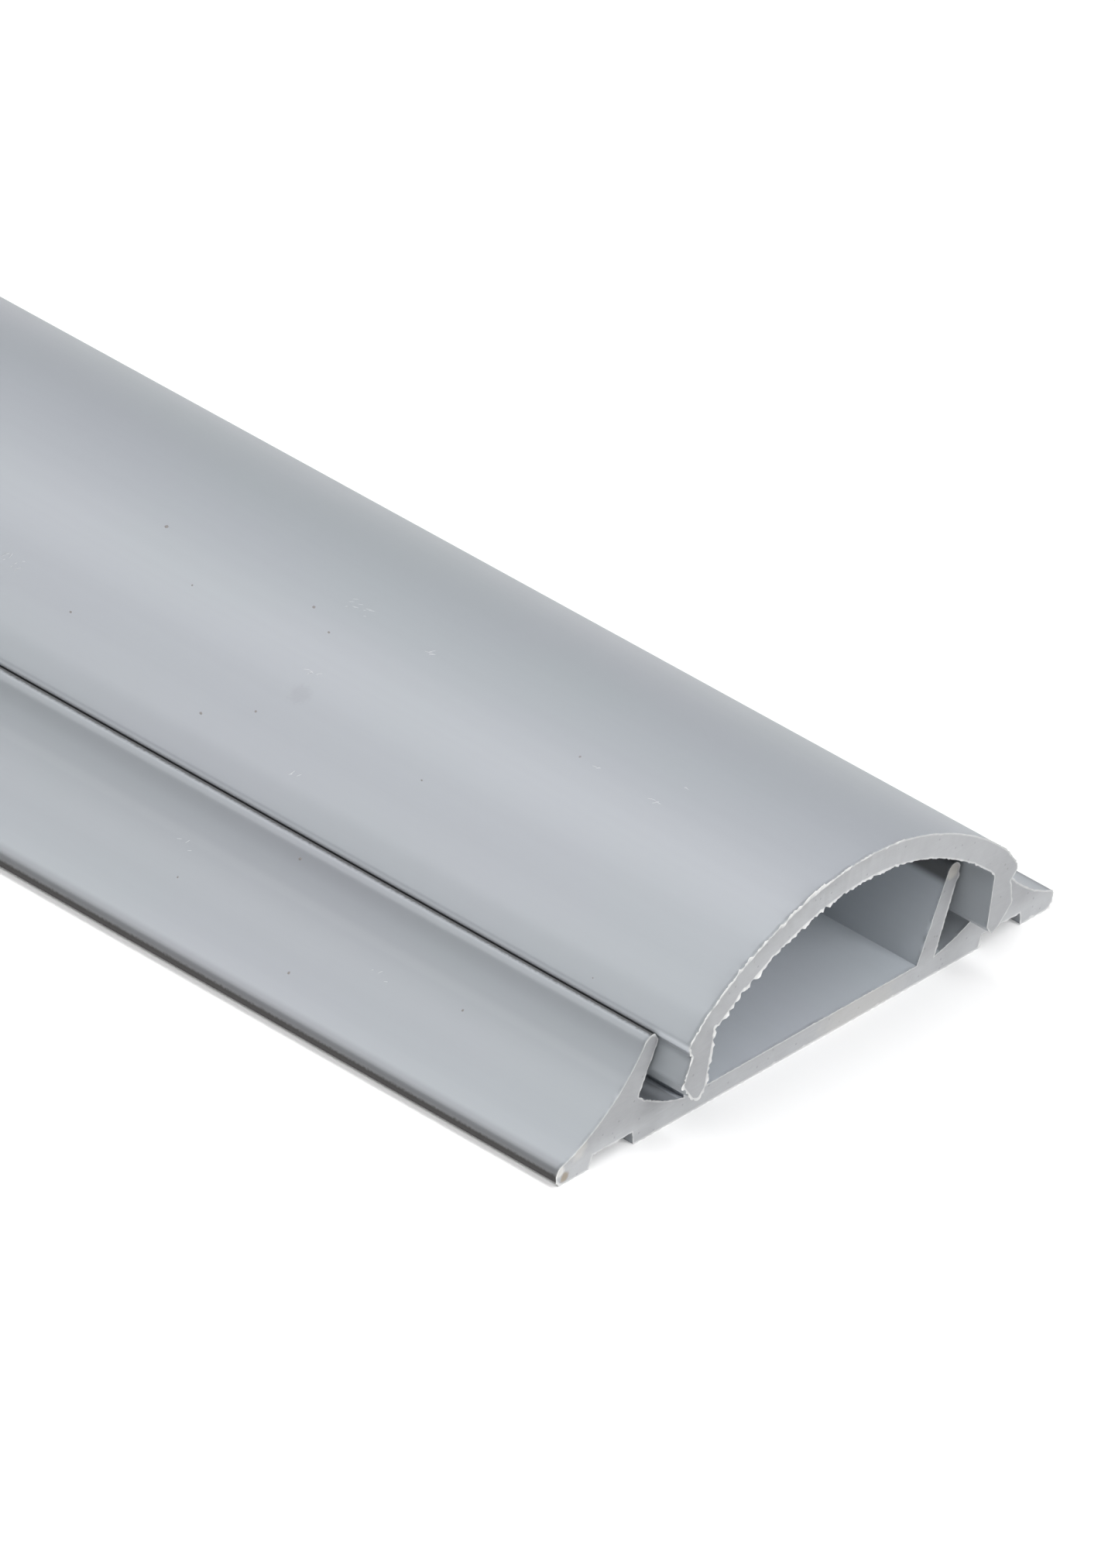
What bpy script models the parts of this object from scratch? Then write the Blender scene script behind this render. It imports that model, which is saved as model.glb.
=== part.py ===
"""Two-piece plastic floor trunking: a ramped base strip and the arched cover that snaps onto it.

Units are metres and +Z is up. The length runs along X, the width along Y, and the strip lies on z = 0.
Each piece is one extrusion, so it is drawn as half a section, mirrored, and pushed along its length.
"""

import math

import bmesh
import bpy

MM = 0.001

# Lengths along X
STICK_LENGTH = 1000.0 * MM
COVER_SLIP = 3.0 * MM  # the cover stands this far out of the base at the +X end

# Base strip: underside
BASE_HALF_WIDTH = 30.0 * MM
FLOOR_THICKNESS = 1.75 * MM
PLATE_HALF_WIDTH = 20.8 * MM  # the part of the underside that lies on the ground
RECESS_HEIGHT = 1.2 * MM
RECESS_INNER = 21.15 * MM
RECESS_OUTER = 25.85 * MM
TOE_INNER = 26.15 * MM
TOE_NOSE_RADIUS = 1.0 * MM
TOE_NOSE_END_DEG = 40.0

# Base strip: ramps, lips and the pockets behind them
WING_RADIUS = 14.7 * MM
LIP_HEAD_RADIUS = 0.8 * MM
LIP_HEAD_Y = 20.6 * MM
LIP_HEAD_Z = 8.75 * MM
LIP_OUTER_DEG = 32.0
LIP_INNER_DEG = 190.0
POCKET_CORNER_Y = 21.2 * MM
POCKET_CORNER_Z = 4.3 * MM
POCKET_CORNER_RADIUS = 0.35 * MM
POCKET_FLOOR_RADIUS = 17.0 * MM

# Base strip: the two fins that back the legs of the cover
FIN_INNER_Y = 13.0 * MM
FIN_OUTER_Y = 15.15 * MM
FIN_HEAD_RADIUS = 0.72 * MM
FIN_HEAD_Y = 15.98 * MM
FIN_HEAD_Z = 9.35 * MM
FIN_HEAD_LOW_Z = 8.6 * MM
FIN_NECK_Y = 16.25 * MM
FIN_NECK_Z = 7.3 * MM

# Cover: arch and shoulders
COVER_TOP = 18.7 * MM
ARCH_RADIUS = 27.8 * MM
ARCH_THICKNESS = 2.15 * MM
ARCH_END_Y = 19.45 * MM
SHOULDER_HALF_WIDTH = 20.0 * MM
SHOULDER_SIDE_Z = 10.2 * MM
SHOULDER_LOW_Y = 19.95 * MM
SHOULDER_LOW_Z = 9.8 * MM
SHOULDER_RADIUS = 0.6 * MM
SHOULDER_LOW_RADIUS = 0.3 * MM

# Cover: legs with their barbs
NOTCH_Y = 19.25 * MM
NOTCH_Z = 8.65 * MM
NOTCH_RADIUS = 0.25 * MM
BARB_TOP_Y = 19.45 * MM
BARB_TOP_Z = 8.25 * MM
BARB_Y = 19.95 * MM
BARB_Z = 6.3 * MM
BARB_RADIUS = 0.45 * MM
FOOT_TAPER_Y = 18.5 * MM
FOOT_TAPER_Z = 4.6 * MM
FOOT_Y = 17.75 * MM
FOOT_Z = 4.3 * MM
FOOT_RADIUS = 0.4 * MM
LEG_LOW_INNER_Y = 17.1 * MM
LEG_LOW_INNER_Z = 5.1 * MM
LEG_INNER_Y = 17.05 * MM
INNER_CORNER_RADIUS = 0.8 * MM

ROUND_STEPS = 6
HEAD_STEPS = 12
NOSE_STEPS = 13
ARC_STEPS = 24
ARCH_STEPS = 48

SHARP_EDGE_DEG = 35.0
PLASTIC_COLOR = (0.36, 0.37, 0.39, 1.0)
PLASTIC_ROUGHNESS = 0.42


def clear_scene():
    for old in list(bpy.data.objects):
        bpy.data.objects.remove(old, do_unlink=True)


def arc(centre, radius, start_deg, end_deg, steps):
    """Points on a circle from one angle to the other, both ends included."""
    points = []
    for i in range(steps + 1):
        angle = math.radians(start_deg + (end_deg - start_deg) * i / steps)
        y = centre[0] + radius * math.cos(angle)
        z = centre[1] + radius * math.sin(angle)
        points.append((y, z))
    return points


def arc_through(start, end, radius, steps):
    """Points strictly between two ends, on a circle whose centre lies to the right of the way."""
    chord_y = end[0] - start[0]
    chord_z = end[1] - start[1]
    chord = math.hypot(chord_y, chord_z)
    rise = math.sqrt(radius**2 - (chord / 2) ** 2)
    centre_y = (start[0] + end[0]) / 2 + rise * chord_z / chord
    centre_z = (start[1] + end[1]) / 2 - rise * chord_y / chord
    first = math.atan2(start[1] - centre_z, start[0] - centre_y)
    last = math.atan2(end[1] - centre_z, end[0] - centre_y)
    turn = (last - first + math.pi) % (2 * math.pi) - math.pi
    points = []
    for i in range(1, steps):
        angle = first + turn * i / steps
        points.append((centre_y + radius * math.cos(angle), centre_z + radius * math.sin(angle)))
    return points


def rounded(before, corner, after, radius, steps=ROUND_STEPS):
    """The corner between two straight runs, as a fillet."""
    in_y, in_z = before[0] - corner[0], before[1] - corner[1]
    out_y, out_z = after[0] - corner[0], after[1] - corner[1]
    in_length = math.hypot(in_y, in_z)
    out_length = math.hypot(out_y, out_z)
    in_y, in_z = in_y / in_length, in_z / in_length
    out_y, out_z = out_y / out_length, out_z / out_length
    half = math.acos(max(-1.0, min(1.0, in_y * out_y + in_z * out_z))) / 2
    set_back = radius / math.tan(half)
    start = (corner[0] + in_y * set_back, corner[1] + in_z * set_back)
    end = (corner[0] + out_y * set_back, corner[1] + out_z * set_back)
    mid_y, mid_z = in_y + out_y, in_z + out_z
    mid_length = math.hypot(mid_y, mid_z)
    reach = radius / math.sin(half)
    centre = (corner[0] + mid_y / mid_length * reach, corner[1] + mid_z / mid_length * reach)
    first = math.atan2(start[1] - centre[1], start[0] - centre[0])
    last = math.atan2(end[1] - centre[1], end[0] - centre[0])
    turn = (last - first + math.pi) % (2 * math.pi) - math.pi
    return arc(centre, radius, math.degrees(first), math.degrees(first + turn), steps)


def base_half_section():
    """The base's outline on the +Y side, from the underside round to the channel floor."""
    nose_centre = (BASE_HALF_WIDTH - TOE_NOSE_RADIUS, TOE_NOSE_RADIUS)
    nose = arc(nose_centre, TOE_NOSE_RADIUS, -90.0, TOE_NOSE_END_DEG, NOSE_STEPS)
    head_centre = (LIP_HEAD_Y, LIP_HEAD_Z)
    lip_head = arc(head_centre, LIP_HEAD_RADIUS, LIP_OUTER_DEG, LIP_INNER_DEG, HEAD_STEPS)
    wing = arc_through(nose[-1], lip_head[0], WING_RADIUS, ARC_STEPS)
    pocket_corner = (POCKET_CORNER_Y, POCKET_CORNER_Z)
    pocket_end = (FIN_OUTER_Y, FLOOR_THICKNESS)
    corner = rounded(lip_head[-1], pocket_corner, pocket_end, POCKET_CORNER_RADIUS)
    pocket_floor = arc_through(corner[-1], pocket_end, POCKET_FLOOR_RADIUS, ARC_STEPS)
    points = [
        (PLATE_HALF_WIDTH, 0.0),
        (RECESS_INNER, RECESS_HEIGHT),
        (RECESS_OUTER, RECESS_HEIGHT),
        (TOE_INNER, 0.0),
    ]
    return points + nose + wing + lip_head + corner + pocket_floor + fin_outline()


def fin_outline():
    """One fin, up its outer side, over its head and down to the channel floor."""
    head = arc((FIN_HEAD_Y, FIN_HEAD_Z), FIN_HEAD_RADIUS, 0.0, 180.0, HEAD_STEPS)
    head_low = (FIN_HEAD_Y + FIN_HEAD_RADIUS, FIN_HEAD_LOW_Z)
    points = [(FIN_OUTER_Y, FLOOR_THICKNESS), (FIN_NECK_Y, FIN_NECK_Z), head_low]
    return points + head + [(FIN_INNER_Y, FLOOR_THICKNESS)]


def cover_half_section():
    """The cover's outline on the +Y side, from the crown over the leg and back under the arch."""
    centre_z = COVER_TOP - ARCH_RADIUS
    arch_end_deg = math.degrees(math.acos(ARCH_END_Y / ARCH_RADIUS))
    outer_arch = arc((0.0, centre_z), ARCH_RADIUS, 90.0, arch_end_deg, ARCH_STEPS)[1:]
    side = (SHOULDER_HALF_WIDTH, SHOULDER_SIDE_Z)
    low = (SHOULDER_LOW_Y, SHOULDER_LOW_Z)
    notch = (NOTCH_Y, NOTCH_Z)
    barb_top = (BARB_TOP_Y, BARB_TOP_Z)
    barb = (BARB_Y, BARB_Z)
    taper = (FOOT_TAPER_Y, FOOT_TAPER_Z)
    foot = (FOOT_Y, FOOT_Z)
    low_inner = (LEG_LOW_INNER_Y, LEG_LOW_INNER_Z)
    inner_radius = ARCH_RADIUS - ARCH_THICKNESS
    corner = inner_corner(centre_z, inner_radius)
    points = outer_arch
    points += rounded(outer_arch[-1], side, low, SHOULDER_RADIUS)
    points += rounded(side, low, notch, SHOULDER_LOW_RADIUS)
    points += rounded(low, notch, barb_top, NOTCH_RADIUS)
    points.append(barb_top)
    points += rounded(barb_top, barb, taper, BARB_RADIUS)
    points.append(taper)
    points += rounded(taper, foot, low_inner, FOOT_RADIUS)
    points.append(low_inner)
    points += corner
    meet_deg = math.degrees(math.atan2(corner[-1][1] - centre_z, corner[-1][0]))
    return points + arc((0.0, centre_z), inner_radius, meet_deg, 90.0, ARCH_STEPS)[1:-1]


def inner_corner(centre_z, inner_radius):
    """The fillet where the leg's inner face meets the underside of the arch."""
    fillet_y = LEG_INNER_Y - INNER_CORNER_RADIUS
    reach = inner_radius - INNER_CORNER_RADIUS
    fillet_z = centre_z + math.sqrt(reach**2 - fillet_y**2)
    end_deg = math.degrees(math.atan2(fillet_z - centre_z, fillet_y))
    return arc((fillet_y, fillet_z), INNER_CORNER_RADIUS, 0.0, end_deg, ROUND_STEPS)


def whole_section(half, crown=()):
    """Both halves as one closed outline; crown holds the points that lie on the centre line."""
    mirrored = [(-y, z) for y, z in reversed(half)]
    return list(crown[:1]) + half + list(crown[1:]) + mirrored


def extrude_along_x(name, outline, start_x, end_x):
    shape = bmesh.new()
    verts = [shape.verts.new((start_x, y, z)) for y, z in outline]
    face = shape.faces.new(verts)
    pushed = bmesh.ops.extrude_face_region(shape, geom=[face], use_keep_orig=True)
    moved = [v for v in pushed["geom"] if isinstance(v, bmesh.types.BMVert)]
    bmesh.ops.translate(shape, verts=moved, vec=(end_x - start_x, 0.0, 0.0))
    bmesh.ops.recalc_face_normals(shape, faces=shape.faces)
    mesh = bpy.data.meshes.new(name)
    shape.to_mesh(mesh)
    shape.free()
    mesh.shade_smooth()
    mesh.set_sharp_from_angle(angle=math.radians(SHARP_EDGE_DEG))
    piece = bpy.data.objects.new(name, mesh)
    bpy.context.scene.collection.objects.link(piece)
    return piece


def plastic(name):
    material = bpy.data.materials.new(name)
    material.use_nodes = True
    shader = material.node_tree.nodes["Principled BSDF"]
    shader.inputs["Base Color"].default_value = PLASTIC_COLOR
    shader.inputs["Roughness"].default_value = PLASTIC_ROUGHNESS
    shader.inputs["Metallic"].default_value = 0.0
    return material


def make_base():
    outline = whole_section(base_half_section())
    start = -(STICK_LENGTH + COVER_SLIP) / 2
    piece = extrude_along_x("floor_base", outline, start, start + STICK_LENGTH)
    piece.data.materials.append(plastic("base_pvc"))


def make_cover():
    centre_z = COVER_TOP - ARCH_RADIUS
    crown = [(0.0, COVER_TOP), (0.0, centre_z + ARCH_RADIUS - ARCH_THICKNESS)]
    outline = whole_section(cover_half_section(), crown)
    start = -(STICK_LENGTH - COVER_SLIP) / 2
    piece = extrude_along_x("snap_cover", outline, start, start + STICK_LENGTH)
    piece.data.materials.append(plastic("cover_pvc"))


clear_scene()
make_base()
make_cover()
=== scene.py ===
"""Two-piece floor trunking in grey rigid plastic, lying on a pale floor with its sawn end to the front.

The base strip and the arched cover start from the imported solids. Copies of them get the marks of the saw
and of the extruder, and stand for the solids.
"""

import math
import random

import bmesh
import bpy
from mathutils import Matrix, Vector, noise


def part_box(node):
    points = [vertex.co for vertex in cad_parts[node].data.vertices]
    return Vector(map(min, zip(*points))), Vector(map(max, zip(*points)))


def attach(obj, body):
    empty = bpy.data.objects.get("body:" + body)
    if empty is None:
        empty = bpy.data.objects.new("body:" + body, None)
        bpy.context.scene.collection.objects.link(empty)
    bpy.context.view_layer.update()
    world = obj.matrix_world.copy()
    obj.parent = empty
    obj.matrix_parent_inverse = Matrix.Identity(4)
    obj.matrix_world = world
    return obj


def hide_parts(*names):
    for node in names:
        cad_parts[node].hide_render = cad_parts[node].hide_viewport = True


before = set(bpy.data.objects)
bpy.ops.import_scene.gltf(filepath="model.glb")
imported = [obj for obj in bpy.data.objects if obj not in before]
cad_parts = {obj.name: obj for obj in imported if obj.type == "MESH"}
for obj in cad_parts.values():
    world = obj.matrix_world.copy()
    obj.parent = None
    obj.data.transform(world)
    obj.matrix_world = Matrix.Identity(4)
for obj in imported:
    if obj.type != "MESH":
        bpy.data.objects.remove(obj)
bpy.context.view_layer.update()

MM = 0.001

# Camera, matched to the picture's frame of 1440 by 2025 pixels
PICTURE_WIDTH = 1440
PICTURE_HEIGHT = 2025
SENSOR_HEIGHT = 36.0
CAMERA_TURN_DEG = 33.471
CAMERA_RISE_DEG = 32.640
CAMERA_ROLL_DEG = 9.601
CAMERA_DISTANCE = 1.319
PIXELS_PER_METRE = 17258.1
SAWN_END_PIXEL = (1042.15, 1349.89)
NEAREST_SEEN = 0.01
FARTHEST_SEEN = 100.0

# Reading the solids: which points are one, what lies on the same end, and which faces are ends or flat
WELD_GAP = 0.005 * MM
SAME_END = 1.0 * MM
END_FACING = 0.9
WALL_FACING = 0.1
FLAT_DEG = 0.05

# Sawn rims: spacing of the points round the section, strips behind the rim, and strips on the cut
RIM_STEP = 0.19 * MM
RIM_DEPTHS = (1.2 * MM, 0.35 * MM, 0.10 * MM)
BURR_RIDGE = 0.09 * MM
BURR_FOOT = 0.035 * MM
SHARP_EDGE_DEG = 35.0

# Which of its piece's finishes a face has; all others have the first, number 0
SAWN_FINISH = 1
SPECK_FINISH = 2
SCRATCH_FINISH = 3

# Burrs left by the saw: how far they stand out of the cut and of the wall, the size of their lumps, and
# how uneven they are; their crest is the line of points just inside the rim
BURR_LIFT = 0.14 * MM
BURR_REACH = 0.22 * MM
BURR_GRAIN = 0.45 * MM
BURR_MEAN = 0.45
BURR_SWING = 0.6
FINE_GRAIN = BURR_GRAIN / 2.2
FINE_SWING = 0.55
CREST_LIFT = 0.5
NOISE_GAIN = 1.6
# Nicks in the rim: where the random number passes the first value they begin, at the second they are full
NICK_DEPTH = 0.20 * MM
NICK_GRAIN = 0.9 * MM
NICK_FROM = 0.45
NICK_FULL = 0.9
# The cover's burr is 1 and fades by this on its far side; the base's is weaker, and fades upwards
COVER_BURR_FADE = 0.75
COVER_BURR_FADE_Y = (-1.0 * MM, 7.0 * MM)
BASE_BURR = 0.75
BASE_BURR_FADE = 0.4
BASE_BURR_FADE_Z = (0.3 * MM, 0.8 * MM)
# How pale the torn plastic is, from 0 to 1: its least, what the burr and a flake's reach add, and its most
PALE_LEAST = 0.26
PALE_SWING = 0.6
PALE_FLAKE = 0.4 * MM
PALE_MOST = 0.95
CREST_PALE = 0.75

# Torn flakes and chipped corners: how bluntly they end, how uneven they are, and how far a flake lifts
FLAKE_BLUNTNESS = 4
FLAKE_MEAN = 0.8
FLAKE_SWING = 0.6
FLAKE_LIFT = 0.25
# Middle (y, z), half length along the rim, reach out of the wall (mm)
COVER_FLAKES = (
    (-18.6, 11.6, 1.0, 0.24),
    (-16.3, 13.4, 1.3, 0.42),
    (-14.5, 14.7, 1.0, 0.66),
    (-12.7, 15.8, 0.7, 0.34),
    (-9.6, 17.0, 1.5, 0.52),
    (-6.7, 18.0, 1.7, 0.60),
    (-3.2, 18.6, 0.7, 0.15),
    (3.2, 18.5, 0.8, 0.12),
    (-19.4, 10.4, 0.6, 0.22),
    (-19.6, 8.4, 0.5, 0.26),
    (-20.0, 6.2, 0.5, 0.30),
    (-16.7, 9.9, 0.5, -0.20),
    (-15.4, 11.6, 0.4, 0.16),
    (-14.3, 12.6, 0.5, -0.20),
    (-12.6, 13.4, 0.4, 0.20),
    (-11.2, 14.2, 0.4, -0.16),
    (-7.5, 15.4, 0.4, 0.14),
    (1.8, 16.4, 0.3, 0.10),
)
BASE_FLAKES = (
    (-20.9, 9.4, 0.7, 0.14),
    (-29.8, 1.2, 0.9, 0.12),
    (0.5, 0.0, 2.2, 0.10),
    (-9.0, 0.0, 1.6, 0.12),
    (12.0, 0.0, 1.8, 0.10),
    (-19.0, 0.0, 0.6, 0.12),
)

# Random seeds of the two pieces, and what is added for each kind of mark
BASE_SEED = 3.0
COVER_SEED = 5.0
FINE_SEED = 1.0
FLAKE_SEED = 3.0
NICK_SEED = 7.0
FAR_END_SEED = 20.0

# The strip in the photo leans: its right half sits lower, and its top has moved to the left
RIGHT_DROP = 0.024
TOP_LEAN = 0.021
DROP_FROM, DROP_TO = 0.0, 15.0 * MM
LEAN_FROM, LEAN_TO = -10.0 * MM, 5.0 * MM

# The cover's shoulders: height of their lower edge, and how they come down to the lips
SHOULDER_Z = 10.0 * MM
SHOULDER_DROP = 0.38 * MM
SHOULDER_FADE_UP = 2.2 * MM
SHOULDER_FADE_DOWN = 1.9 * MM
SHOULDER_FROM_Y = 17.6 * MM
SHOULDER_FULL_Y = 19.0 * MM

# Inside of the channel: within this radius of the arch's middle, this near the middle of the width, and
# above this height
ARCH_MIDDLE_Z = -9.1 * MM
ARCH_INNER_LIMIT = 26.7 * MM
CHANNEL_HALF_WIDTH = 15.9 * MM
CHANNEL_FLOOR_FROM = 1.0 * MM

# Studio lights: place, size and power
LIGHT_AIM = (0.5, 0.0, 0.0)
WORLD_WHITE = (1.0, 1.0, 1.0, 1.0)
WORLD_STRENGTH = 0.05
LIGHTS = (
    ("top_softbox", (0.6, 0.28, 1.9), (3.0, 0.5), 29.0),
    ("front_softbox", (0.6, -1.2, 1.7), (3.0, 1.0), 37.0),
    ("end_softbox", (2.0, 0.2, 0.9), (1.4, 1.0), 24.0),
    ("far_softbox", (-2.0, 0.3, 0.9), (1.4, 1.0), 8.0),
)

# Floor: its half width, its paint, and a weak glow that keeps it pale away from the softboxes
FLOOR_HALF_WIDTH = 30.0
FLOOR_WHITE = (0.72, 0.72, 0.72, 1.0)
FLOOR_ROUGHNESS = 0.9
FLOOR_GLOW = 0.22

# Colours of the plastic and of what lies on it
PLASTIC_COOL = (0.300, 0.316, 0.343, 1.0)
PLASTIC_WARM = (0.294, 0.316, 0.337, 1.0)
SAWN_PLASTIC = (0.325, 0.332, 0.343)
BURR_WHITE = (0.68, 0.68, 0.67, 1.0)
# Painted light on the lower edge of the cover's shoulders
SHOULDER_LIGHT_GREY = (0.58, 0.61, 0.65, 1.0)
SPECK_DARK = (0.215, 0.205, 0.20, 1.0)
SPECK_LIGHT = (0.47, 0.48, 0.50, 1.0)
# Dark used for dirt and pits, and for painted shade along the toes and in the seam
DIRT_AND_SHADE = (0.035, 0.032, 0.030, 1.0)
CREAM = (0.50, 0.47, 0.42, 1.0)
RUBBED_CREAM = (0.52, 0.50, 0.46, 1.0)
CHALK = (0.62, 0.61, 0.58, 1.0)
RUST_BROWN = (0.20, 0.15, 0.09, 1.0)

# Extruded plastic: grains per metre along X, Y and Z, how far a seed moves them, and the size of the
# grains in the edge of its dirt and of its painted shade
DIE_LINES = (3.0, 1300.0, 1300.0)
DIE_BANDS = (2.0, 160.0, 160.0)
CLOUDS = (30.0, 60.0, 60.0)
DIE_RELIEF = (3.0, 900.0, 900.0)
DIE_RELIEF_DEPTH = 0.008 * MM
SEED_SHIFT = (0.37, 0.11, 0.23)
DIRT_AND_SHADE_EDGE_GRAIN = 0.25 * MM
# Its gloss, its tone and roughness with what each pattern adds, and where the clouds change the tint
PLASTIC_GLOSS = 0.8
TONE = 0.93
TONE_OF_LINES = 0.05
TONE_OF_BANDS = 0.05
TONE_OF_CLOUDS = 0.04
TINT_CHANGE = (0.35, 0.65)
# Painted light: how much lighter the walls inside the channel are made
INSIDE_PAINTED_LIGHT = 0.55
ROUGHNESS = 0.37
ROUGHNESS_OF_GRAIN = 0.08
ROUGHNESS_OF_BURR = 0.2
ROUGHNESS_OF_FOOT_SHADE = 0.4
# Painted shade just outside each lip's crest, which narrows the crest's highlight: distance from the middle
# of the width where it begins, and where it ends
CREST_SHADE_INNER = (20.80 * MM, 20.95 * MM)
CREST_SHADE_OUTER = (22.2 * MM, 21.3 * MM)
CREST_SHADE_DARKER = 0.13
# Painted light on the rounded lower edge of the cover's shoulders, which turns away from the lights
SHOULDER_SIDE = (19.70 * MM, 19.80 * MM)
SHOULDER_ABOVE = (9.0 * MM, 9.4 * MM)
SHOULDER_LIGHT_BELOW = (9.95 * MM, 9.66 * MM)
# Fine line that the die left on each ramp
DIE_MARK_Y = 23.0 * MM
DIE_MARK_WIDTH = (0.4 * MM, 0.05 * MM)
DIE_MARK_STRENGTH = 0.06
# Painted shade along the toes, soft above the floor and nearly black at the foot as a contact shadow, and
# painted shade of the seam on the tops of the lips
TOE_SIDE = (28.9 * MM, 29.4 * MM)
TOE_SHADE_BELOW = (2.10 * MM, 1.25 * MM)
TOE_SHADE_STRENGTH = 0.6
FOOT_SHADE_BELOW = (1.20 * MM, 0.90 * MM)
FOOT_SHADE_WOBBLE = 0.25
FOOT_SHADE_STRENGTH = 0.95
LIP_TOP_SIDE = (20.85 * MM, 20.45 * MM)
LIP_TOP_ABOVE = (8.0 * MM, 8.8 * MM)
LIP_TOP_WOBBLE = 0.3

# Sawn plastic: the blade's scoring and its slant in radians, blotches, and pits with their edge, which is
# counted in parts of their spacing
SAW_SCORING = (1.0, 420.0, 5200.0)
SCORING_SLANT = 0.45
SCORING_DEPTH = 0.02 * MM
BLOTCH_SIZE = 1.6 * MM
STAIN_EDGE_GRAIN = 0.6 * MM
PIT_SPACING = 0.9 * MM
PIT_EDGE = (0.14, 0.07)
PIT_STRENGTH = 0.25
# Its tone: darker in the middle of the height than at the top and at the bottom; the lighter top is painted
# light
SAWN_TONE = 0.84
TONE_OF_SCORING = 0.14
TONE_OF_BLOTCHES = 0.18
HEIGHT_TONE = 0.84
TOP_ABOVE = (9.0 * MM, 14.0 * MM)
TOP_PAINTED_LIGHT = 0.10
BOTTOM_BELOW = (3.0 * MM, 1.2 * MM)
BOTTOM_LIGHTER = 0.20
SAWN_ROUGHNESS = 0.5
ROUGHNESS_OF_SCORING = 0.15
ROUGHNESS_OF_BLOTCHES = 0.1

# Dirt grains and scratches
SPECK_ROUGHNESS = 0.7
SCRATCH_ROUGHNESS = 0.5

# A smudge or a stain fades in between these parts of its radius
SPOT_EDGE_OUTER = 1.4
SPOT_EDGE_INNER = 0.6

# Sockets of Blender's Mix node when it mixes colours
MIX_FACTOR = 0
MIX_UNDER = 6
MIX_OVER = 7
MIX_RESULT = 2

# Dirt grains on the walls: x (m), y and z (mm), radius (mm)
COVER_SPECKS = (
    (0.4374, -6.1, 18.0, 0.16),
    (0.4520, -6.0, 18.0, 0.14),
    (0.4547, -7.4, 17.7, 0.11),
    (0.4512, -17.3, 12.7, 0.12),
    (0.4549, -15.5, 14.0, 0.10),
    (0.4367, -15.7, 13.8, 0.10),
    (0.4916, -19.6, 10.8, 0.06),
    (0.4783, -6.2, 18.0, 0.10),
    (0.4699, -14.1, 14.9, 0.08),
    (0.4431, -9.6, 17.0, 0.08),
)
BASE_SPECKS = (
    (0.4653, -21.6, 8.6, 0.13),
    (0.4697, -27.0, 2.9, 0.12),
    (0.4836, -23.9, 5.5, 0.10),
    (0.4570, -25.2, 4.2, 0.08),
)
# Length of a grain beside its width, and its height
SPECK_LENGTH = 1.3
SPECK_HEIGHT = 0.035 * MM
# Scuffs on the walls: x (m), y and z (mm), radius (mm), number of scratches
COVER_SCUFFS = (
    (0.4298, -14.7, 14.5, 1.0, 9),
    (0.4547, -3.8, 18.4, 1.0, 10),
    (0.4622, -4.3, 18.4, 0.35, 5),
    (0.4563, -11.0, 16.4, 0.7, 6),
    (0.4608, -17.8, 12.2, 0.5, 4),
    (0.4800, -6.4, 17.9, 0.4, 3),
    (0.4857, -6.5, 17.9, 0.4, 5),
    (0.4865, -3.8, 18.4, 0.3, 2),
)
BASE_SCUFFS = (
    (0.4760, -24.5, 5.0, 0.8, 3),
    (0.4560, -23.5, 6.0, 0.8, 3),
)
# Half width of a scuff across the strip, beside its radius
SCUFF_HALF_WIDTH = 0.6
# Scratches: shortest and longest half length, half width, height, and mean and spread of their turn
SCRATCH_LENGTHS = (0.10 * MM, 0.32 * MM)
SCRATCH_WIDTH = 0.035 * MM
SCRATCH_HEIGHT = 0.012 * MM
SCRATCH_TURN = (0.6, 0.35)
# Soft smudges on the cover: x (m), y and z (mm), radius (mm), strength
COVER_SMUDGES = ((0.4569, -12.9, 15.5, 0.8, 0.08),)
# Stains on the base's sawn end: y, z and radius (mm), strength, colour
END_STAINS = (
    (-27.6, 2.4, 0.8, 0.35, RUBBED_CREAM),
    (-29.7, 1.3, 0.5, 0.60, CHALK),
    (-29.0, 0.6, 0.42, 0.70, RUST_BROWN),
    (6.0, 0.3, 4.5, 0.20, CREAM),
    (15.7, 9.2, 0.75, 0.55, CREAM),
)


class Number:
    """A number that changes over a surface: sums on it add Math nodes to its finish."""

    def __init__(self, finish, socket):
        self.finish = finish
        self.socket = socket

    def __add__(self, other):
        return self.finish.sum("ADD", self, other)

    def __sub__(self, other):
        return self.finish.sum("SUBTRACT", self, other)

    def __mul__(self, other):
        return self.finish.sum("MULTIPLY", self, other)

    __radd__ = __add__


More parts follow.
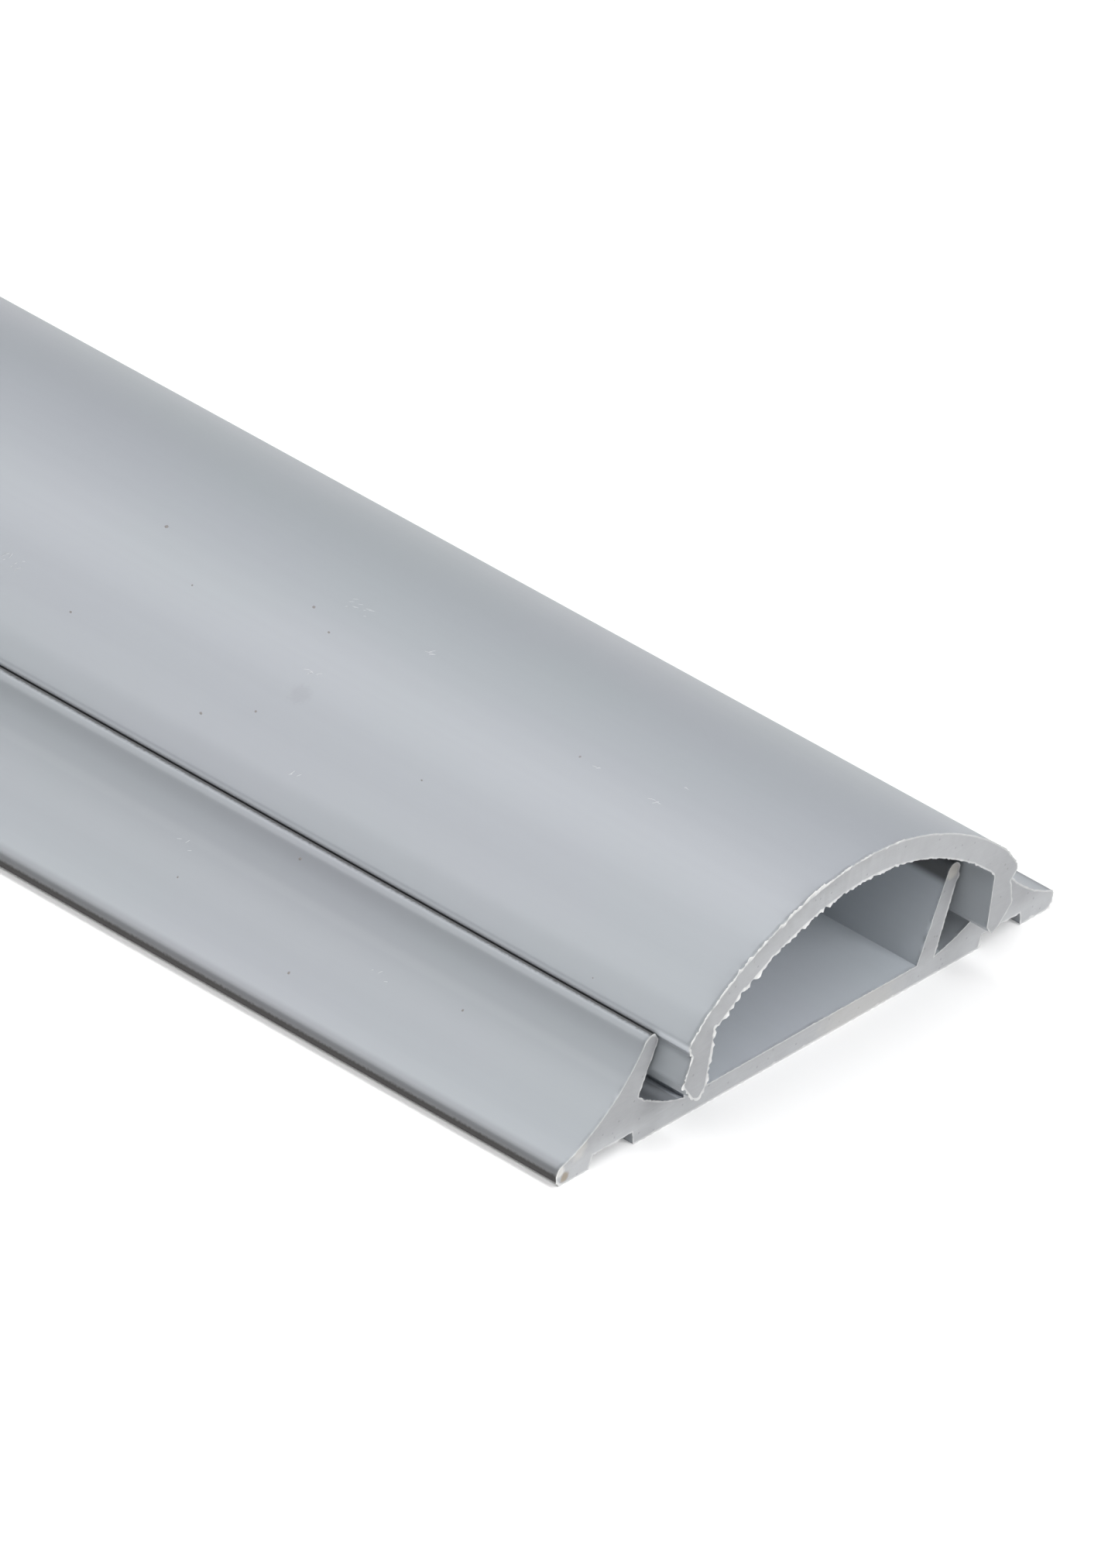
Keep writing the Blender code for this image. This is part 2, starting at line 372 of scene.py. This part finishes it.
class Finish:
    """A material with one shader, and the nodes that feed it."""

    def __init__(self, name):
        self.material = bpy.data.materials.new(name)
        self.material.use_nodes = True
        self.tree = self.material.node_tree
        self.shader = self.tree.nodes["Principled BSDF"]
        self.place = self.node("ShaderNodeTexCoord").outputs["Object"]

    def node(self, kind, settings=None, sockets=None):
        made = self.tree.nodes.new(kind)
        for name, value in (settings or {}).items():
            setattr(made, name, value)
        for name, value in (sockets or {}).items():
            self.feed(made.inputs[name], value)
        return made

    def feed(self, socket, value):
        if isinstance(value, Number):
            value = value.socket
        if isinstance(value, bpy.types.NodeSocket):
            self.tree.links.new(value, socket)
        else:
            socket.default_value = value

    def put(self, quality, value):
        """Sets one input of the shader, such as its Base Color."""
        self.feed(self.shader.inputs[quality], value)

    def sum(self, operation, first, second):
        made = self.node("ShaderNodeMath", {"operation": operation}, {0: first, 1: second})
        return Number(self, made.outputs[0])

    def stretched(self, factors, shift=(0.0, 0.0, 0.0), turn=(0.0, 0.0, 0.0)):
        """The object's own coordinates, turned, then moved and stretched along each axis."""
        sockets = {"Vector": self.place, "Location": shift, "Rotation": turn, "Scale": factors}
        return self.node("ShaderNodeMapping", None, sockets).outputs[0]

    def grain(self, vector, scale=1.0, detail=2.0, roughness=0.5):
        sockets = {"Vector": vector, "Scale": scale, "Detail": detail, "Roughness": roughness}
        return Number(self, self.node("ShaderNodeTexNoise", None, sockets).outputs[0])

    def cells(self, vector, scale):
        """Distance to the nearest of many scattered points."""
        made = self.node("ShaderNodeTexVoronoi", None, {"Vector": vector, "Scale": scale})
        return Number(self, made.outputs["Distance"])

    def between(self, value, low, high):
        """0 below low, 1 above high, and smooth between them; low may be the larger."""
        sockets = {"Value": value, "From Min": low, "From Max": high}
        made = self.node("ShaderNodeMapRange", {"interpolation_type": "SMOOTHSTEP"}, sockets)
        return Number(self, made.outputs[0])

    def mixed(self, factor, under, over):
        settings = {"data_type": "RGBA", "clamp_factor": True}
        sockets = {MIX_FACTOR: factor, MIX_UNDER: under, MIX_OVER: over}
        return self.node("ShaderNodeMix", settings, sockets).outputs[MIX_RESULT]

    def scaled(self, colour, amount):
        """A colour made lighter or darker by a number near 1."""
        grey = self.node("ShaderNodeCombineXYZ", None, {0: amount, 1: amount, 2: amount})
        settings = {"operation": "MULTIPLY"}
        return self.node("ShaderNodeVectorMath", settings, {0: colour, 1: grey.outputs[0]}).outputs[0]

    def near(self, point, radius, wobble):
        """1 within about a radius of a point of the piece, 0 away from it."""
        settings = {"operation": "DISTANCE"}
        made = self.node("ShaderNodeVectorMath", settings, {0: self.place, 1: point})
        distance = Number(self, made.outputs["Value"])
        return self.between(distance + wobble * radius, SPOT_EDGE_OUTER * radius, SPOT_EDGE_INNER * radius)

    def axis(self, letter):
        made = self.node("ShaderNodeSeparateXYZ", None, {"Vector": self.place})
        return Number(self, made.outputs[letter])

    def size_of(self, value):
        return self.sum("ABSOLUTE", value, 0.0)

    def attribute(self, name):
        made = self.node("ShaderNodeAttribute", {"attribute_name": name})
        return Number(self, made.outputs["Fac"])

    def bump(self, height, depth):
        sockets = {"Height": height, "Distance": depth, "Strength": 1.0}
        return self.node("ShaderNodeBump", None, sockets).outputs[0]

    def finish(self, colour, roughness, normal):
        self.put("Base Color", colour)
        self.put("Roughness", roughness)
        self.put("Normal", normal)
        return self.material


def plain_finish(name, colour, roughness):
    made = Finish(name)
    made.put("Base Color", colour)
    made.put("Roughness", roughness)
    return made.material


def extruded_plastic(name, seed, shade, seam_shade=0.0, shoulder_light=0.0, smudges=()):
    """Satin grey plastic drawn through a die: lengthwise lines, burrs and smudges, painted shade along the
    toes, in the seam and beside the lips' crests, and painted light inside the channel and on the
    shoulders' lower edge.
    """
    made = Finish(name)
    made.put("Specular IOR Level", PLASTIC_GLOSS)
    shift = [seed * step for step in SEED_SHIFT]
    side = made.size_of(made.axis("Y"))
    z = made.axis("Z")
    lines = made.grain(made.stretched(DIE_LINES, shift), detail=4.0, roughness=0.6)
    bands = made.grain(made.stretched(DIE_BANDS, shift))
    cloud = made.grain(made.stretched(CLOUDS, shift), detail=3.0)
    wobble = made.grain(made.place, 1.0 / DIRT_AND_SHADE_EDGE_GRAIN, detail=1.0) - 0.5
    inside = made.attribute("inside")
    burr = made.attribute("burr")
    tone = shade * TONE + lines * TONE_OF_LINES + bands * TONE_OF_BANDS + cloud * TONE_OF_CLOUDS
    tint = made.mixed(made.between(cloud, *TINT_CHANGE), PLASTIC_COOL, PLASTIC_WARM)
    # Painted shade darkens a band just outside each lip's crest
    crest_shade = made.between(side, *CREST_SHADE_INNER) * made.between(side, *CREST_SHADE_OUTER)
    # Painted light makes the walls inside the channel lighter
    colour = made.scaled(tint, tone * (1.0 + inside * INSIDE_PAINTED_LIGHT - crest_shade * CREST_SHADE_DARKER))
    # Painted light: the shoulders' rounded lower edge is made paler where it would fall into shade
    shoulder = made.between(side, *SHOULDER_SIDE) * made.between(z, *SHOULDER_ABOVE)
    corner_light = shoulder * made.between(z, *SHOULDER_LIGHT_BELOW) * shoulder_light
    colour = made.mixed(corner_light, colour, SHOULDER_LIGHT_GREY)
    die_mark = made.between(made.size_of(side - DIE_MARK_Y), *DIE_MARK_WIDTH)
    colour = made.mixed(die_mark * DIE_MARK_STRENGTH, colour, SPECK_LIGHT)
    # Painted shade: the toes darken towards the floor, and their foot is painted nearly black as a contact
    # shadow
    toe = made.between(side, *TOE_SIDE)
    toe_shade = made.between(z, *TOE_SHADE_BELOW)
    foot = made.between(z + wobble * FOOT_SHADE_WOBBLE * MM, *FOOT_SHADE_BELOW)
    colour = made.mixed(toe * toe_shade * TOE_SHADE_STRENGTH, colour, DIRT_AND_SHADE)
    colour = made.mixed(toe * foot * FOOT_SHADE_STRENGTH, colour, DIRT_AND_SHADE)
    # Painted shade: the tops of the lips are darkened where the gap under the cover's shoulders is in shade
    lip_top = made.between(side + wobble * LIP_TOP_WOBBLE * MM, *LIP_TOP_SIDE)
    seam = lip_top * made.between(z, *LIP_TOP_ABOVE) * seam_shade
    colour = made.mixed(seam, colour, DIRT_AND_SHADE)
    for x, y_mm, z_mm, radius, strength in smudges:
        spot = made.near((x, y_mm * MM, z_mm * MM), radius * MM, wobble)
        colour = made.mixed(spot * strength, colour, DIRT_AND_SHADE)
    colour = made.mixed(burr, colour, BURR_WHITE)
    grained = ROUGHNESS + lines * ROUGHNESS_OF_GRAIN + cloud * ROUGHNESS_OF_GRAIN
    roughness = grained + burr * ROUGHNESS_OF_BURR + toe * foot * ROUGHNESS_OF_FOOT_SHADE
    relief = made.grain(made.stretched(DIE_RELIEF, shift), detail=1.0)
    return made.finish(colour, roughness, made.bump(relief, DIE_RELIEF_DEPTH))


def sawn_plastic(name, seed, stains=()):
    """The matt face that the saw left, with its scoring and, on the base, dirt rubbed into it."""
    made = Finish(name)
    scored = made.stretched(SAW_SCORING, (0.0, seed, seed), (SCORING_SLANT, 0.0, 0.0))
    scoring = made.grain(scored, detail=3.0, roughness=0.6)
    blotches = made.grain(made.place, 1.0 / BLOTCH_SIZE, detail=4.0, roughness=0.6)
    wobble = made.grain(made.place, 1.0 / STAIN_EDGE_GRAIN, detail=3.0) - 0.5
    pits = made.between(made.cells(made.place, 1.0 / PIT_SPACING), *PIT_EDGE)
    height = made.axis("Z")
    top = made.between(height, *TOP_ABOVE)
    bottom = made.between(height, *BOTTOM_BELOW)
    # Painted light makes the sawn faces lighter towards the top; they are also lighter towards the bottom
    by_height = HEIGHT_TONE + top * TOP_PAINTED_LIGHT + bottom * BOTTOM_LIGHTER
    tone = SAWN_TONE + scoring * TONE_OF_SCORING + blotches * TONE_OF_BLOTCHES
    colour = made.scaled(SAWN_PLASTIC, tone * by_height)
    colour = made.mixed(pits * PIT_STRENGTH, colour, DIRT_AND_SHADE)
    end_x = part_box("floor_base")[1][0]
    for y_mm, z_mm, radius, strength, tint in stains:
        spot = made.near((end_x, y_mm * MM, z_mm * MM), radius * MM, wobble)
        colour = made.mixed(spot * strength, colour, tint)
    colour = made.mixed(made.attribute("burr"), colour, BURR_WHITE)
    roughness = SAWN_ROUGHNESS + scoring * ROUGHNESS_OF_SCORING + blotches * ROUGHNESS_OF_BLOTCHES
    return made.finish(colour, roughness, made.bump(scoring, SCORING_DEPTH))


def aim_camera():
    """The base's sawn end, at floor level in the middle of the width, lands on its pixel of the picture."""
    turn = math.radians(CAMERA_TURN_DEG)
    tilt = math.radians(CAMERA_RISE_DEG)
    back = Vector((math.sin(turn) * math.cos(tilt), -math.cos(turn) * math.cos(tilt), math.sin(tilt)))
    level_right = (-back).cross(Vector((0.0, 0.0, 1.0))).normalized()
    level_up = level_right.cross(-back)
    roll = math.radians(CAMERA_ROLL_DEG)
    right = level_right * math.cos(roll) + level_up * math.sin(roll)
    up = level_up * math.cos(roll) - level_right * math.sin(roll)
    focal = CAMERA_DISTANCE * PIXELS_PER_METRE
    beside = (SAWN_END_PIXEL[0] - PICTURE_WIDTH / 2) / focal
    above = (PICTURE_HEIGHT / 2 - SAWN_END_PIXEL[1]) / focal
    aim_back = (back + right * beside + up * above).normalized()
    aim_right = (right - aim_back * right.dot(aim_back)).normalized()
    aim_up = aim_back.cross(aim_right)
    sawn_end = Vector((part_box("floor_base")[1][0], 0.0, 0.0))
    lens = bpy.data.cameras.new("camera")
    lens.sensor_fit = "VERTICAL"
    lens.sensor_height = SENSOR_HEIGHT
    lens.lens = focal * SENSOR_HEIGHT / PICTURE_HEIGHT
    lens.clip_start = NEAREST_SEEN
    lens.clip_end = FARTHEST_SEEN
    camera = bpy.data.objects.new("camera", lens)
    axes = Matrix((aim_right, aim_up, aim_back)).transposed().to_4x4()
    camera.matrix_world = Matrix.Translation(sawn_end + back * CAMERA_DISTANCE) @ axes
    bpy.context.scene.collection.objects.link(camera)
    bpy.context.scene.camera = camera


def open_tube(node):
    """A copy of a packed extrusion without its two end faces."""
    shape = bmesh.new()
    shape.from_mesh(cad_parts[node].data)
    bmesh.ops.remove_doubles(shape, verts=shape.verts, dist=WELD_GAP)
    ends = [f for f in shape.faces if abs(f.normal.x) > END_FACING]
    bmesh.ops.delete(shape, geom=ends, context="FACES")
    flat = math.radians(FLAT_DEG)
    bmesh.ops.dissolve_limit(shape, angle_limit=flat, verts=shape.verts, edges=shape.edges)
    return shape


def refine_section(shape):
    """Closer points all round the section, so that the long faces stay long and narrow."""
    by_cuts = {}
    for edge in shape.edges:
        if abs(edge.verts[0].co.x - edge.verts[1].co.x) < SAME_END:
            cuts = math.ceil(edge.calc_length() / RIM_STEP) - 1
            by_cuts.setdefault(cuts, []).append(edge)
    for cuts in sorted(by_cuts):
        if cuts > 0:
            bmesh.ops.subdivide_edges(shape, edges=by_cuts[cuts], cuts=cuts, use_grid_fill=True)


def rise(value, low, high):
    """0 below low, 1 above high, and smooth between them."""
    part = min(1.0, max(0.0, (value - low) / (high - low)))
    return part * part * (3.0 - 2.0 * part)


def lean(shape):
    """Moves the section as the photo shows it; both pieces move alike, so their gaps stay."""
    for vert in shape.verts:
        y, z = vert.co.y, vert.co.z
        vert.co.z = z * (1.0 - RIGHT_DROP * rise(y, DROP_FROM, DROP_TO))
        vert.co.y = y - z * TOP_LEAN * rise(y, LEAN_FROM, LEAN_TO)


def lower_shoulders(shape):
    """Brings the cover's two shoulders down towards the lips, as close as the photo's thin seam."""
    for vert in shape.verts:
        y, z = abs(vert.co.y), vert.co.z
        above = 1.0 - rise(z, SHOULDER_Z, SHOULDER_Z + SHOULDER_FADE_UP)
        below = rise(z, SHOULDER_Z - SHOULDER_FADE_DOWN, SHOULDER_Z)
        vert.co.z -= SHOULDER_DROP * above * below * rise(y, SHOULDER_FROM_Y, SHOULDER_FULL_Y)


def push_rim(shape, rim, shift):
    """Extrudes an open rim along X and returns the new one."""
    made = bmesh.ops.extrude_edge_only(shape, edges=rim)["geom"]
    verts = [v for v in made if isinstance(v, bmesh.types.BMVert)]
    bmesh.ops.translate(shape, verts=verts, vec=(shift, 0.0, 0.0))
    return [e for e in made if isinstance(e, bmesh.types.BMEdge) and e.is_boundary]


def ragged(point, grain, seed):
    """A smooth random number from about -1 to 1 along an edge."""
    return NOISE_GAIN * noise.noise(Vector((point.y / grain, point.z / grain, seed)))


def flake_reach(point, flakes):
    """How far the nearest torn flake stands out of the wall here; a chipped corner counts below 0."""
    reach = 0.0
    for y, z, half_length, height in flakes:
        away = math.hypot(point.y - y * MM, point.z - z * MM) / (half_length * MM)
        if away < 1.0 and abs(height * MM) > abs(reach):
            reach = height * MM * (1.0 - away**FLAKE_BLUNTNESS)
    return reach


def inset_cap(shape, cap, thickness):
    """Insets the cap and returns the strip of new faces round it."""
    strip = bmesh.ops.inset_region(
        shape, faces=cap, thickness=thickness, use_boundary=True, use_even_offset=True
    )["faces"]
    for face in strip:
        face.material_index = SAWN_FINISH
    return strip


def across(strip, inner):
    """For each point on the outside of a strip of faces, the point inside it."""
    pairs = {}
    for edge in {e for f in strip for e in f.edges}:
        first, second = edge.verts
        if second not in inner:
            first, second = second, first
        if first not in inner and second in inner:
            pairs[first] = second
    return pairs


def close_end(shape, way):
    """Closes one open end with closely spaced strips of wall and a cap, and returns the cap's faces."""
    end_x = max(v.co.x * way for v in shape.verts) * way
    rim = [e for e in shape.edges if e.is_boundary and abs(e.verts[0].co.x - end_x) < SAME_END]
    rim_verts = {v for e in rim for v in e.verts}
    bmesh.ops.translate(shape, verts=list(rim_verts), vec=(-way * RIM_DEPTHS[0], 0.0, 0.0))
    for depth, next_depth in zip(RIM_DEPTHS, RIM_DEPTHS[1:] + (0.0,)):
        rim = push_rim(shape, rim, way * (depth - next_depth))
    cap = bmesh.ops.holes_fill(shape, edges=rim, sides=0)["faces"]
    bmesh.ops.recalc_face_normals(shape, faces=shape.faces)
    for face in cap:
        face.material_index = SAWN_FINISH
    return cap


def wall_facing(vert):
    """The way that the wall behind a point of the rim faces."""
    joined = [e.other_vert(vert) for e in vert.link_edges]
    behind = [v for v in joined if abs(v.co.x - vert.co.x) > 0.5 * RIM_DEPTHS[-1]]
    return behind[0].normal.copy()


def saw_end(shape, way, burr_force, flakes, seed):
    """Closes one end with a sawn face that has a torn burr along its rim."""
    burr = shape.verts.layers.float["burr"]
    cap = close_end(shape, way)
    outer_strip = inset_cap(shape, cap, BURR_RIDGE)
    inner_strip = inset_cap(shape, cap, BURR_FOOT)
    foot = across(inner_strip, {v for f in cap for v in f.verts})
    ridge = across(outer_strip, set(foot))
    shape.normal_update()
    outward = {vert: wall_facing(vert) for vert in ridge}
    for vert, crest in ridge.items():
        force = burr_force(vert.co)
        rough = max(0.0, BURR_MEAN + BURR_SWING * ragged(vert.co, BURR_GRAIN, seed))
        fine = FINE_SWING * ragged(vert.co, FINE_GRAIN, seed + FINE_SEED)
        bite = rise(ragged(vert.co, NICK_GRAIN, seed + NICK_SEED), NICK_FROM, NICK_FULL)
        uneven = FLAKE_MEAN + FLAKE_SWING * ragged(vert.co, BURR_GRAIN, seed + FLAKE_SEED)
        torn = flake_reach(vert.co, flakes) * uneven
        flake = max(0.0, torn)
        drop = min(0.0, torn) - bite * NICK_DEPTH * force
        reach = BURR_REACH * (rough + fine) * force + flake
        pale = PALE_LEAST + PALE_SWING * rough * force
        side = outward[vert]
        vert[burr] = min(PALE_MOST, pale + flake / PALE_FLAKE)
        vert.co += side * (reach + drop)
        vert.co.x += way * (BURR_LIFT * rough * force + FLAKE_LIFT * flake)
        vert.co.z = max(0.0, vert.co.z)
        crest[burr] = CREST_PALE * min(PALE_MOST, pale)
        crest.co += side * drop
        crest.co.x += way * BURR_LIFT * CREST_LIFT * rough * force
        foot[crest].co += side * drop
    bmesh.ops.triangulate(shape, faces=cap)


def cover_burr_force(point):
    """The blade came out on the near side of the cover, so its burr is heavier there."""
    return 1.0 - COVER_BURR_FADE * rise(point.y, *COVER_BURR_FADE_Y)


def base_burr_force(point):
    """Heavier under the plate, where the blade came out."""
    return BASE_BURR - BASE_BURR_FADE * rise(point.z, *BASE_BURR_FADE_Z)


def mark_inside(shape):
    """Marks the walls that only face into the channel, which painted light makes lighter, and makes room
    for the marks of the burrs.
    """
    inside = shape.verts.layers.float.new("inside")
    shape.verts.layers.float.new("burr")
    for vert in shape.verts:
        y, z = vert.co.y, vert.co.z
        under_arch = math.hypot(y, z - ARCH_MIDDLE_Z) < ARCH_INNER_LIMIT
        if under_arch and abs(y) < CHANNEL_HALF_WIDTH and z > CHANNEL_FLOOR_FROM:
            vert[inside] = 1.0


def on_wall(walls, x, y_mm, z_mm):
    """The wall's place nearest to a wanted one, and the way the wall faces there."""
    wanted = Vector((x, y_mm * MM, z_mm * MM))
    nearest, facing = min(walls, key=lambda w: math.hypot(w[0].y - wanted.y, w[0].z - wanted.z))
    gap = wanted - nearest
    return wanted - facing * gap.dot(facing), facing


def add_grain(shape, middle, facing, turn, sizes, finish_index):
    """A flat grain lying on the wall, turned about the wall's normal."""
    along = Vector((1.0, 0.0, 0.0))
    axes = Matrix((along, facing.cross(along), facing)).transposed().to_4x4()
    turned = Matrix.Rotation(turn, 4, "Z") @ Matrix.Diagonal(sizes + (1.0,))
    place = Matrix.Translation(middle) @ axes @ turned
    made = bmesh.ops.create_icosphere(shape, subdivisions=1, radius=1.0, matrix=place)
    for face in {f for v in made["verts"] for f in v.link_faces}:
        face.material_index = finish_index


def add_marks(shape, specks, scuffs, seed):
    """Dirt grains and light scratches on the walls, where the photo shows them."""
    rng = random.Random(seed)
    shape.normal_update()
    walls = []
    for vert in shape.verts:
        if abs(vert.normal.x) < WALL_FACING:
            facing = Vector((0.0, vert.normal.y, vert.normal.z)).normalized()
            walls.append((vert.co.copy(), facing))
    for x, y_mm, z_mm, radius in specks:
        middle, facing = on_wall(walls, x, y_mm, z_mm)
        sizes = (SPECK_LENGTH * radius * MM, radius * MM, SPECK_HEIGHT)
        add_grain(shape, middle, facing, rng.uniform(0.0, math.pi), sizes, SPECK_FINISH)
    for x, y_mm, z_mm, radius, scratches in scuffs:
        for _ in range(scratches):
            scratch_y_mm = y_mm + rng.uniform(-SCUFF_HALF_WIDTH, SCUFF_HALF_WIDTH) * radius
            scratch_x = x + rng.uniform(-1.0, 1.0) * radius * MM
            middle, facing = on_wall(walls, scratch_x, scratch_y_mm, z_mm)
            sizes = (rng.uniform(*SCRATCH_LENGTHS), SCRATCH_WIDTH, SCRATCH_HEIGHT)
            add_grain(shape, middle, facing, rng.gauss(*SCRATCH_TURN), sizes, SCRATCH_FINISH)


def sawn_piece(node, name, burr_force, flakes, specks, scuffs, seed):
    """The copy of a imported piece, with both ends sawn and its walls marked."""
    shape = open_tube(node)
    if node == "snap_cover":
        lower_shoulders(shape)
    refine_section(shape)
    mark_inside(shape)
    lean(shape)
    saw_end(shape, 1, burr_force, flakes, seed)
    saw_end(shape, -1, burr_force, (), seed + FAR_END_SEED)
    bmesh.ops.recalc_face_normals(shape, faces=shape.faces)
    add_marks(shape, specks, scuffs, seed)
    mesh = bpy.data.meshes.new(name)
    shape.to_mesh(mesh)
    shape.free()
    mesh.shade_smooth()
    mesh.set_sharp_from_angle(angle=math.radians(SHARP_EDGE_DEG))
    piece = bpy.data.objects.new(name, mesh)
    bpy.context.scene.collection.objects.link(piece)
    return piece


def dress(piece, *finishes):
    """Gives a piece its finishes, in the order that its faces count them."""
    for finish in finishes:
        piece.data.materials.append(finish)


def make_base():
    piece = sawn_piece(
        "floor_base", "base_strip", base_burr_force, BASE_FLAKES, BASE_SPECKS, BASE_SCUFFS, BASE_SEED
    )
    dress(
        piece,
        extruded_plastic("base_grey", seed=1.0, shade=0.95, seam_shade=0.85),
        sawn_plastic("base_sawn", seed=1.0, stains=END_STAINS),
        plain_finish("base_dirt", SPECK_DARK, SPECK_ROUGHNESS),
        plain_finish("base_scratch", SPECK_LIGHT, SCRATCH_ROUGHNESS),
    )
    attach(piece, "base")
    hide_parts("floor_base")


def make_cover():
    piece = sawn_piece(
        "snap_cover", "arched_cover", cover_burr_force, COVER_FLAKES, COVER_SPECKS, COVER_SCUFFS, COVER_SEED
    )
    dress(
        piece,
        extruded_plastic("cover_grey", seed=2.0, shade=1.0, shoulder_light=0.8, smudges=COVER_SMUDGES),
        sawn_plastic("cover_sawn", seed=2.0),
        plain_finish("cover_dirt", SPECK_DARK, SPECK_ROUGHNESS),
        plain_finish("cover_scratch", SPECK_LIGHT, SCRATCH_ROUGHNESS),
    )
    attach(piece, "cover")
    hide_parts("snap_cover")


def make_floor():
    shape = bmesh.new()
    bmesh.ops.create_grid(shape, x_segments=1, y_segments=1, size=FLOOR_HALF_WIDTH)
    mesh = bpy.data.meshes.new("floor")
    shape.to_mesh(mesh)
    shape.free()
    paint = Finish("floor_paint")
    paint.put("Base Color", FLOOR_WHITE)
    paint.put("Roughness", FLOOR_ROUGHNESS)
    paint.put("Emission Color", FLOOR_WHITE)
    paint.put("Emission Strength", FLOOR_GLOW)
    mesh.materials.append(paint.material)
    floor = bpy.data.objects.new("floor", mesh)
    bpy.context.scene.collection.objects.link(floor)


def area_light(name, place, size, watts):
    """A softbox aimed at the sawn end; its first size runs along the strip as far as it can."""
    light = bpy.data.lights.new(name, "AREA")
    light.shape = "RECTANGLE"
    light.size = size[0]
    light.size_y = size[1]
    light.energy = watts
    lamp = bpy.data.objects.new(name, light)
    back = (Vector(place) - Vector(LIGHT_AIM)).normalized()
    along = (Vector((1.0, 0.0, 0.0)) - back * back.x).normalized()
    axes = Matrix((along, back.cross(along), back)).transposed().to_4x4()
    lamp.matrix_world = Matrix.Translation(place) @ axes
    bpy.context.scene.collection.objects.link(lamp)


def light_scene():
    world = bpy.data.worlds.new("studio")
    world.use_nodes = True
    world.node_tree.nodes["Background"].inputs["Color"].default_value = WORLD_WHITE
    world.node_tree.nodes["Background"].inputs["Strength"].default_value = WORLD_STRENGTH
    bpy.context.scene.world = world
    bpy.context.scene.view_settings.view_transform = "Standard"
    for name, place, size, watts in LIGHTS:
        area_light(name, place, size, watts)


aim_camera()
make_floor()
light_scene()
make_base()
make_cover()
